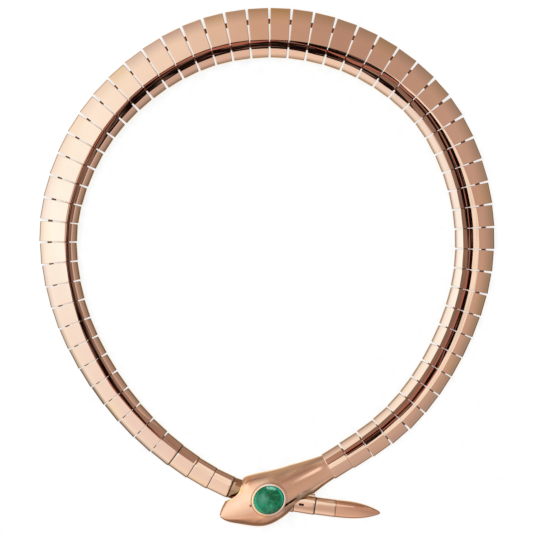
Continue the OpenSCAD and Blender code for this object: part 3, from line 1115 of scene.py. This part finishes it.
def turned_oval(name, outline, material, steps=96):
    """A closed outline of radius and height turned round the eye."""
    ovals = [oval(radius, steps) for radius, _ in outline]
    rings = [[(*points[i], z) for points, (_, z) in zip(ovals, outline)] for i in range(steps)]
    n = len(outline)
    faces = grid_faces(steps, n)
    last = (steps - 1) * n
    for j in range(n):
        k = (j + 1) % n
        faces.append((last + j, last + k, k, j))
    return new_piece(name, [p for ring in rings for p in ring], faces, material)


# Where round the setting its painted light and shade come, as a share of the radius: towards the snout,
# towards the neck, the side inside the collar, and towards the neck again for the painted gleam on that
# side
SNOUT_SIDE = (-0.2, 0.7)
NECK_SIDE = (-0.1, 0.75)
INNER_SIDE = (0.55, 0.9)
GLEAM_SIDE = (-0.25, 0.1)
# Distances from the stone's edge over which the painted gleam comes and goes, the painted shade of the
# seam beside the stone goes and the painted yellow reflection comes; and distances outwards over which
# painted shade darkens the outer side
GLEAM_ACROSS = (0.15, 0.3, 0.62, 0.75)
SEAM_ACROSS = (0.1, 0.3)
YELLOW_ACROSS = (0.3, 0.6)
OUTER_SIDE = (2.5, 4.5)
# Painted shade in the seam towards the neck and inside the collar, on the whole side towards the neck,
# and on the outer side; then the greatest yellowness of the painted reflection and the redness
SEAM_SHADE = (0.65, 0.455)
NECK_SHADE = 0.14
OUTER_SHADE = 0.3
RING_YELLOW = 0.8
RING_RED = 0.5


def ring_mark(p):
    """Painted light of the setting at a point: a painted gleam inside the collar, a painted yellow
    reflection at the snout, painted shade behind.
    """
    along, out = eye_coords(p)
    r = math.hypot(along, out)
    lip = r - STONE_D / 2
    to_snout = step(-along / r, *SNOUT_SIDE)
    to_neck = step(along / r, *NECK_SIDE)
    inside = step(-out / r, *INNER_SIDE)
    gleam = inside * hump(lip, *GLEAM_ACROSS) * step(along / r, *GLEAM_SIDE)
    seam = max(SEAM_SHADE[0] * to_neck, SEAM_SHADE[1] * inside) * (1 - step(lip, *SEAM_ACROSS))
    painted_shade = max(seam, NECK_SHADE * to_neck, OUTER_SHADE * step(out, *OUTER_SIDE))
    yellow = RING_YELLOW * step(lip, *YELLOW_ACROSS) * to_snout
    return painted_shade * (1 - gleam), yellow, RING_RED * (1 - gleam)


def build_setting():
    """The ring round the stone, with a rolled lip."""
    outer = SETTING_D / 2
    bore = STONE_D / 2 + STONE_PLAY
    lip_r = (outer - bore + LIP_OVER) / 2
    lip = (bore - LIP_OVER + lip_r, SEAT_Z + SETTING_H - lip_r + LIP_RISE)
    outline = [(bore - LEDGE_W, SEAT_Z), (outer, SEAT_Z), (outer, SEAT_Z + COLLAR_H)]
    outline += circle(lip, lip_r)[: LIP_STEPS + 1]
    outline += [(bore, lip[1] - LIP_FOOT), (bore, SEAT_Z + LEDGE_H), (bore - LEDGE_W, SEAT_Z + LEDGE_H)]
    setting = turned_oval("eye_ring", outline, SETTING_GOLD)
    stands_for(setting, ["eye_setting"], ring_mark)


def build_stone():
    """The smooth domed stone."""
    base = SEAT_Z + LEDGE_H + STONE_PLAY
    r = STONE_D / 2
    top = base + STONE_EDGE
    cap_r = arc_r(r, STONE_DOME)
    levels = [(r - STONE_BEVEL, base), (r, base + STONE_BEVEL), (r, top)]
    for i in range(1, STONE_STEPS):
        t = math.asin(r / cap_r) * (1 - i / STONE_STEPS)
        levels.append((cap_r * math.sin(t), top + STONE_DOME - cap_r + cap_r * math.cos(t)))
    rings = [[(x, y, z) for x, y in oval(reach)] for reach, z in levels]
    stone = loft("eye_cabochon", rings, GREEN_STONE, STONE_SMOOTH_TO)
    stands_for(stone, ["eye_stone"])


# Tail tip
TAIL_HEADING = joint_heading(LINK_COUNT)
TAIL_RINGS_PER_ROW = 8
TAIL_SOLID_ROWS = 2
# Painted shade all over the tail, and how much more in a stripe, with the shares of the width from the
# outer edge between which the stripe comes and goes; then the redness
TAIL_SHADE = 0.09
STRIPE_SHADE = 0.17
STRIPE = (0.08, 0.25, 0.5, 0.68)
TAIL_RED = 0.5


def tail_ring(row, wall):
    """A section of the tail's skin, or of its hollow where there is a wall."""
    along, half_w, h = row
    foot = -CUT_OVER if wall else 0
    reach = half_w - wall
    crest = -2 * CREST_SHARE * half_w
    points = arch(reach, reach, h - wall, crest, TAIL_FULLNESS, TAIL_FULLNESS, foot)
    if not wall and along == TAIL[0][0]:
        return beside_link(LINK_COUNT, 1, points)
    return upright(points, joint_place(LINK_COUNT, 0.0, along), TAIL_HEADING)


def tail_mark(p):
    """Painted shade, yellowness and redness of the tail at a point: a stripe of darker painted shade
    outside its middle.
    """
    along, out = coords_from(joint_at(LINK_COUNT), TAIL_HEADING, p)
    half = between([row[:2] for row in TAIL], max(along, TAIL[0][0]))
    return TAIL_SHADE + STRIPE_SHADE * hump(0.5 - out / (2 * half), *STRIPE), 0.0, TAIL_RED


def build_tail():
    per = TAIL_RINGS_PER_ROW
    last = (len(TAIL) - 1) * per
    tip = loft("tail_point", [tail_ring(row_at(TAIL, i / per), 0) for i in range(last + 1)], ROSE_GOLD)
    rings = [tail_ring((-CUT_OVER, *TAIL[0][1:]), TAIL_WALL)]
    for i in range(last - TAIL_SOLID_ROWS * per + 1):
        rings.append(tail_ring(row_at(TAIL, i / per), TAIL_WALL))
    hollow = loft("hollow", rings)
    for across in (-1, 1):
        cut(hollow, new_piece("tail_post", *post(LINK_COUNT, 1, across, TAIL[0][2])))
    cut(tip, hollow)
    smooth(tip, SKIN_SMOOTH_TO)
    stands_for(tip, ["tail_tip"], tail_mark)


def finish_cad_nodes():
    """The parts inside the links keep their shape and get the dark, duller gold: painted shade for
    parts that lie in shadow.
    """
    for name in ("hinge_straps", "clasp_peg"):
        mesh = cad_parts[name].data
        mesh.materials.clear()
        mesh.materials.append(SHADED_INNER_GOLD)


# Light, floor and camera
# Height of the cards that only reflections show, and beside the head, where they would show in
# the neck if they were higher
CARD_Z = 14.0
LOW_CARD_Z = 6.0
# Stations between which the cards rise past the head and fall again before it
CARDS_RISE = (0.5, 3.0, 55.5, 58.0)
# Stations between the rows of the cards' points, and their grain along and across the chain
CARD_SPACING = 0.1
CARD_GRAIN = (0.35, 0.33)
# Steepest angle from straight up at which a card is placed
CARD_LEAN = 74.0
# Cards that show as bands along the links. Each row: station along the chain, then the share of
# the width, counted in percent from the outer edge, at which each band begins: pale, black, red
# thread, black, red, brown, black, gleam, and where the gleam ends; then how bright the brown is
BANDS = [
    (0.03, 40, 57, 59, 61, 61, 61, 78, 78, 78, 1.9),
    (0.98, 38, 56, 58, 60, 60, 60, 78, 78, 78, 1.7),
    (1.02, 40, 49, 52, 54, 60, 64, 71, 71, 71, 1.0),
    (1.98, 39, 49, 52, 54, 61, 66, 73, 73, 73, 1.0),
    (2.02, 38, 43, 56, 57, 62, 65, 74, 74, 74, 0.9),
    (2.98, 39, 45, 57, 58, 63, 66, 76, 76, 76, 0.9),
    (3.02, 35, 47, 51, 54, 61, 64, 75, 75, 75, 0.9),
    (3.98, 34, 48, 52, 55, 62, 65, 76, 76, 76, 0.9),
    (4.02, 34, 47, 50, 52, 58, 64, 75, 75, 75, 0.9),
    (4.98, 33, 44, 47, 49, 56, 62, 74, 74, 74, 0.9),
    (5.02, 33, 45, 45, 49, 56, 61, 75, 75, 75, 1.0),
    (7.0, 31, 44, 44, 47, 57, 61, 74, 74, 74, 1.0),
    (8.5, 32, 45, 56, 56, 57, 61, 74, 74, 74, 0.9),
    (11.98, 36, 51, 58, 58, 59, 63, 78, 78, 78, 0.9),
    (12.02, 37, 53, 60, 62, 65, 65, 79, 79, 79, 0.8),
    (14.5, 39, 53, 62, 64, 71, 71, 80, 80, 80, 0.9),
    (16.5, 45, 53, 61, 63, 71, 71, 80, 80, 80, 1.0),
    (18.5, 50, 55, 62, 64, 71, 71, 79, 79, 82, 1.0),
    (20.5, 55, 58, 62, 64, 70, 70, 80, 81, 83, 1.1),
    (21.5, 56, 60, 62, 66, 68, 68, 77, 83, 83, 1.0),
    (22.5, 57, 58, 61, 65, 66, 66, 74, 84, 84, 1.0),
    (24.5, 60, 60, 71, 76, 76, 76, 76, 83, 83, 1.0),
    (26.5, 63, 63, 70, 71, 71, 71, 71, 84, 84, 1.0),
    (28.5, 64, 64, 66, 67, 67, 67, 67, 82, 82, 1.0),
    (30.5, 63, 63, 65, 71, 71, 71, 71, 82, 82, 1.0),
    (32.5, 63, 63, 65, 69, 69, 69, 69, 83, 83, 1.0),
    (34.5, 64, 64, 66, 69, 69, 69, 69, 84, 85, 1.0),
    (36.5, 64, 64, 66, 68, 68, 68, 68, 84, 86, 1.0),
    (38.5, 67, 67, 68, 71, 73, 73, 76, 85, 87, 0.8),
    (40.5, 70, 70, 72, 74, 76, 76, 83, 84, 87, 0.8),
    (44.5, 70, 71, 73, 74, 77, 77, 83, 84, 87, 0.8),
    (47.5, 66, 66, 68, 69, 76, 76, 82, 82, 85, 0.9),
    (49.5, 61, 61, 62, 63, 77, 77, 83, 83, 85, 1.1),
    (52.5, 55, 55, 55, 59, 72, 72, 80, 80, 82, 1.2),
    (54.5, 59, 59, 59, 62, 70, 70, 80, 80, 82, 1.3),
    (55.98, 60, 60, 60, 65, 68, 68, 94, 94, 94, 1.4),
    (56.02, 62, 62, 62, 62, 62, 62, 94, 94, 94, 1.3),
    (57.98, 66, 66, 66, 66, 66, 66, 94, 94, 94, 1.4),
    (58.02, 60, 82, 82, 82, 82, 82, 97, 97, 97, 1.6),
    (60.2, 55, 80, 80, 80, 80, 80, 97, 97, 97, 1.4),
]
# The same over the last links and the root of the tail, where only the pale band shows
TAIL_BANDS = [
    (63.2, 64, 80, 80, 80, 80, 80, 80, 80, 80, 1.0),
    (65.0, 66, 78, 78, 78, 78, 78, 78, 78, 78, 1.0),
    (65.9, 68, 73, 73, 73, 73, 73, 73, 73, 73, 1.0),
]
# They are low, and only their lower side is seen, so that the neck does not show them
TAIL_CARD_Z = 4.6
BAND_PALE = (1.06, 1.05, 0.96)
BAND_BLACK = (0.006, 0.002, 0.002)
BAND_RED = (0.46, 0.17, 0.12)
BAND_BROWN = (0.28, 0.19, 0.15)
BAND_GLEAM = (0.72, 0.6, 0.54)
# Fine brown and dark lines in the cards
CARD_FINE = (0.5, 0.33, 0.27)
CARD_DULL = (0.1, 0.05, 0.04)

# Light that the metal reflects from each side, by compass angle from +X in degrees: high up,
# near the ground, and from the ground. The tent is bright towards -X and brown towards +X
LIGHT_HIGH = [
    (-180, (1.12, 1.4, 1.47)),
    (-165, (1.06, 1.16, 1.17)),
    (-150, (1.02, 1.05, 1.05)),
    (-130, (0.94, 0.91, 0.9)),
    (-108, (0.98, 0.88, 0.8)),
    (-88, (0.9, 0.77, 0.66)),
    (-65, (0.7, 0.56, 0.49)),
    (-40, (0.62, 0.49, 0.41)),
    (-15, (0.64, 0.48, 0.39)),
    (5, (0.58, 0.43, 0.35)),
    (30, (0.6, 0.45, 0.38)),
    (72, (0.52, 0.37, 0.29)),
    (92, (0.68, 0.5, 0.39)),
    (115, (0.96, 0.9, 0.8)),
    (140, (1.1, 1.2, 1.18)),
    (165, (1.12, 1.37, 1.42)),
    (180, (1.12, 1.4, 1.47)),
]
LIGHT_LOW = [
    (-180, (1.13, 1.27, 1.39)),
    (-150, (1.07, 1.13, 1.09)),
    (-130, (1.0, 1.0, 0.94)),
    (-108, (1.0, 0.9, 0.78)),
    (-88, (0.93, 0.78, 0.66)),
    (-65, (0.66, 0.53, 0.47)),
    (-40, (0.46, 0.39, 0.35)),
    (-15, (0.38, 0.31, 0.24)),
    (30, (0.4, 0.32, 0.27)),
    (60, (0.38, 0.3, 0.24)),
    (90, (0.45, 0.33, 0.2)),
    (115, (0.62, 0.54, 0.5)),
    (140, (1.03, 1.07, 1.03)),
    (165, (1.12, 1.24, 1.29)),
    (180, (1.13, 1.27, 1.39)),
]
LIGHT_BELOW = [
    (-180, (0.38, 0.34, 0.28)),
    (-90, (0.36, 0.27, 0.21)),
    (-20, (0.1, 0.06, 0.04)),
    (40, (0.22, 0.18, 0.1)),
    (80, (0.46, 0.34, 0.24)),
    (120, (0.58, 0.46, 0.34)),
    (145, (0.42, 0.38, 0.3)),
    (180, (0.38, 0.34, 0.28)),
]
# What the steepest edges reflect from the ground
LIGHT_DOWN = (1.0, 0.84, 0.56)
# Steepness of a direction, from -1 to 1, over which each of these lights gives way to the next
DOWN_TO_BELOW = (-0.95, -0.75)
BELOW_TO_LOW = (-0.35, 0.05)
LOW_TO_HIGH = (0.34, 0.72)


def seen_from(j, share):
    """Where the camera, looking down, sees the card plane reflected at a share of a link's width."""
    u = (0.5 - share / 100) * body_w(j)
    z, slope = dome_point(body_w(j), u)
    lean = max(-CARD_LEAN, min(CARD_LEAN, 2 * slope))
    card_z = LOW_CARD_Z + (CARD_Z - LOW_CARD_Z) * hump(j, *CARDS_RISE)
    if j >= TAIL_BANDS[0][0]:
        card_z = TAIL_CARD_Z
    return *joint_place(j, u + (card_z - z) * math.tan(math.radians(lean))), card_z


def card_material(name, one_side=False):
    """Glowing cards with fine lines along the chain, which show their lower side alone if asked."""
    n = Nodes.of_material(name)
    tone = n.add("ShaderNodeVertexColor", layer_name="tone").outputs
    place = n.add("ShaderNodeUVMap", uv_map="place").outputs["UV"]
    grain = {"Vector": place, "Scale": 1.0, "Detail": 3.0}
    line = n.add("ShaderNodeTexNoise", grain, noise_dimensions="2D").outputs["Fac"]
    lit = n.mix(n.range(line, 0.57, 0.66, 0.0, 0.32), tone["Color"], CARD_FINE)
    lit = n.mix(n.range(line, 0.4, 0.3, 0.0, 0.3), lit, CARD_DULL)
    glow = n.add("ShaderNodeEmission", {"Color": lit}).outputs["Emission"]
    share = tone["Alpha"]
    if one_side:
        upper = n.add("ShaderNodeNewGeometry").outputs["Backfacing"]
        share = n.math("MULTIPLY", share, n.math("SUBTRACT", 1.0, upper))
    clear = n.add("ShaderNodeBsdfTransparent").outputs["BSDF"]
    fade = n.add("ShaderNodeMixShader", {0: share, 1: clear, 2: glow}).outputs["Shader"]
    n.feed(n.tree.nodes["Material Output"], {"Surface": fade})
    return n.owner


def card(name, verts, faces, tones, places, material):
    """A surface that only reflections show, with a colour and a share of it at each point."""
    mesh = mesh_of(name, verts, faces, material)
    tone = mesh.color_attributes.new("tone", "FLOAT_COLOR", "POINT")
    for item, colour in zip(tone.data, tones):
        item.color = colour
    place = mesh.uv_layers.new(name="place")
    for loop in mesh.loops:
        place.data[loop.index].uv = places[loop.vertex_index]
    shown = scene_object(name, mesh)
    for ray in ("camera", "diffuse", "shadow", "transmission"):
        setattr(shown, "visible_" + ray, False)


def build_link_cards(name, table, one_side=False):
    """The bands over part of the chain."""
    first = table[0][0]
    count = int((table[-1][0] - first) / CARD_SPACING) + 1
    verts = []
    tones = []
    places = []
    for i in range(count):
        j = first + i * CARD_SPACING
        k = min(max(m for m in range(len(table)) if table[m][0] <= j), len(table) - 2)
        before, after = table[k], table[k + 1]
        t = (j - before[0]) / (after[0] - before[0])
        row = [a + (b - a) * t for a, b in zip(before, after)]
        brown = tuple(c * row[-1] for c in BAND_BROWN)
        bands = [BAND_PALE, BAND_BLACK, BAND_RED, BAND_BLACK, BAND_RED, brown, BAND_BLACK, BAND_GLEAM]
        for band, colour in enumerate(bands):
            for share in (row[1 + band], row[2 + band]):
                verts.append(seen_from(j, share))
                tones.append((*colour, 1))
                places.append((CARD_GRAIN[0] * j, CARD_GRAIN[1] * share))
    per = 2 * len(bands)
    starts = [i * per + 2 * band for i in range(count - 1) for band in range(len(bands))]
    faces = [(a, a + 1, a + 1 + per, a + per) for a in starts]
    card(name, verts, faces, tones, places, card_material(name, one_side))


# The card over the head, by where the camera sees it there: distance back, shift outwards, and
# the share of the card's colour; then its half width, colour and height; then its soft edges, as
# shares of the half width and of the colour
NECK_STREAK = [
    (1.6, -0.5, 0.0),
    (3.9, -0.6, 0.85),
    (5.5, -0.65, 0.85),
    (8.0, -0.7, 0.6),
    (12.5, -0.7, 0.0),
]
STREAK_HALF_W = 0.62
STREAK_TONE = (1.3, 1.18, 1.08)
STREAK_Z = 15.5
STREAK_EDGES = [(-1.0, 0.0), (-0.4, 1.0), (0.4, 1.0), (1.0, 0.0)]


def head_z(back, x):
    """Height of the head's skin at a place, without its small relief."""
    low, high = 0.0, len(HEAD) - 1.0
    for _ in range(30):
        middle = (low + high) / 2
        if row_at(HEAD, middle)[0] > back:
            low = middle
        else:
            high = middle
    _, inside, outside, h, crest, full_in, full_out = row_at(HEAD, low)
    out = x > crest
    share = (x - crest) / (outside - crest) if out else (crest - x) / (inside + crest)
    full = full_out if out else full_in
    return FOOT_EDGE + (h - FOOT_EDGE) * (1 - min(share, 0.99) ** full) ** (1 / full)


def seen_in_head(back, x):
    """Where the camera, looking down, sees the head's card plane reflected at a place of the head."""
    near = 0.2
    rise_back = (head_z(back + near, x) - head_z(back - near, x)) / (2 * near)
    rise_out = (head_z(back, x + near) - head_z(back, x - near)) / (2 * near)
    heading = head_heading(back)
    fall = rise_back * ahead(heading) - rise_out * outward(heading)
    lean = min(CARD_LEAN, 2 * math.degrees(math.atan(fall.length)))
    reach = (STREAK_Z - head_z(back, x)) * math.tan(math.radians(lean))
    return *(head_place(back, x) + reach * fall.normalized()), STREAK_Z


def build_neck_streak():
    """A soft-edged strip over the head."""
    verts = []
    tones = []
    for back, out, share in NECK_STREAK:
        for side, edge in STREAK_EDGES:
            verts.append(seen_in_head(back, out + side * STREAK_HALF_W))
            tones.append((*STREAK_TONE, share * edge))
    faces = grid_faces(len(NECK_STREAK), len(STREAK_EDGES), closed=False)
    card("neck_streak", verts, faces, tones, [(0.0, 0.0)] * len(verts), card_material("head_cards"))


def build_world():
    """A light tent in the metal, and plain white light on everything else."""
    world = bpy.data.worlds.new("studio")
    bpy.context.scene.world = world
    world.use_nodes = True
    n = Nodes(world)
    n.tree.nodes.clear()
    ray = n.add("ShaderNodeTexCoord").outputs["Generated"]
    direction = n.add("ShaderNodeSeparateXYZ", {"Vector": ray}).outputs
    compass = n.math("ARCTAN2", direction["Y"], direction["X"])
    turn = n.range(compass, -math.pi, math.pi, 0.0, 1.0)
    high, low, below = [
        n.ramp(turn, [((angle + 180) / 360, colour) for angle, colour in light])
        for light in (LIGHT_HIGH, LIGHT_LOW, LIGHT_BELOW)
    ]
    up = direction["Z"]
    tent = n.mix(n.range(up, *LOW_TO_HIGH, 0.0, 1.0), low, high)
    below = n.mix(n.range(up, *DOWN_TO_BELOW, 1.0, 0.0), below, LIGHT_DOWN)
    tent = n.mix(n.range(up, *BELOW_TO_LOW, 0.0, 1.0), below, tent)
    seen = n.add("ShaderNodeBackground", {"Color": tent}).outputs["Background"]
    plain = n.add("ShaderNodeBackground", {"Color": (1, 1, 1)}).outputs["Background"]
    glossy = n.add("ShaderNodeLightPath").outputs["Is Glossy Ray"]
    choose = n.add("ShaderNodeMixShader", {0: glossy, 1: plain, 2: seen}).outputs["Shader"]
    n.add("ShaderNodeOutputWorld", {"Surface": choose})


# The key light's place, width and power; the floor's half width and how far it lies below zero
KEY_AT = Vector((-500, 350, 900))
KEY_SIZE = 700
KEY_POWER = 6.0
FLOOR_HALF = 3000
FLOOR_DROP = 0.02


def build_key_light():
    """A soft light from the upper left, which reflections don't show."""
    data = bpy.data.lights.new("key", "AREA")
    data.shape = "DISK"
    data.size = KEY_SIZE * MM
    data.energy = KEY_POWER
    light = scene_object("key", data)
    light.location = KEY_AT * MM
    light.rotation_euler = (-KEY_AT).to_track_quat("-Z", "Y").to_euler()
    light.visible_glossy = False


def build_floor():
    signs = (-1, -1), (1, -1), (1, 1), (-1, 1)
    corners = [(x * FLOOR_HALF, y * FLOOR_HALF, -FLOOR_DROP) for x, y in signs]
    floor = scene_object("floor", mesh_of("floor", corners, [(0, 1, 2, 3)], paper()))
    floor.visible_glossy = False


# The camera's height and sensor; the photo's scale, its width in pixels and its middle, and the
# height at which that scale holds
CAMERA_H = 900
SENSOR_W = 36
VIEW_MM_PER_PIXEL = 0.3
VIEW_PIXELS = 533
VIEW_MIDDLE = (-0.15, 0.075)
SHARP_Z = 1.5


def build_camera():
    """Straight above the necklace, with the photo's scale at the height of the links' edges."""
    data = bpy.data.cameras.new("camera")
    data.sensor_width = SENSOR_W
    data.lens = SENSOR_W * (CAMERA_H - SHARP_Z) / (VIEW_MM_PER_PIXEL * VIEW_PIXELS)
    data.clip_start = 10 * MM
    data.clip_end = 20000 * MM
    camera = scene_object("camera", data)
    camera.location = Vector((*VIEW_MIDDLE, CAMERA_H)) * MM
    bpy.context.scene.camera = camera


build_links()
build_head()
build_setting()
build_stone()
build_tail()
finish_cad_nodes()
build_floor()
build_world()
build_link_cards("band_cards", BANDS)
build_link_cards("tail_band_cards", TAIL_BANDS, one_side=True)
build_neck_streak()
build_key_light()
build_camera()
bpy.context.scene.view_settings.view_transform = "Standard"
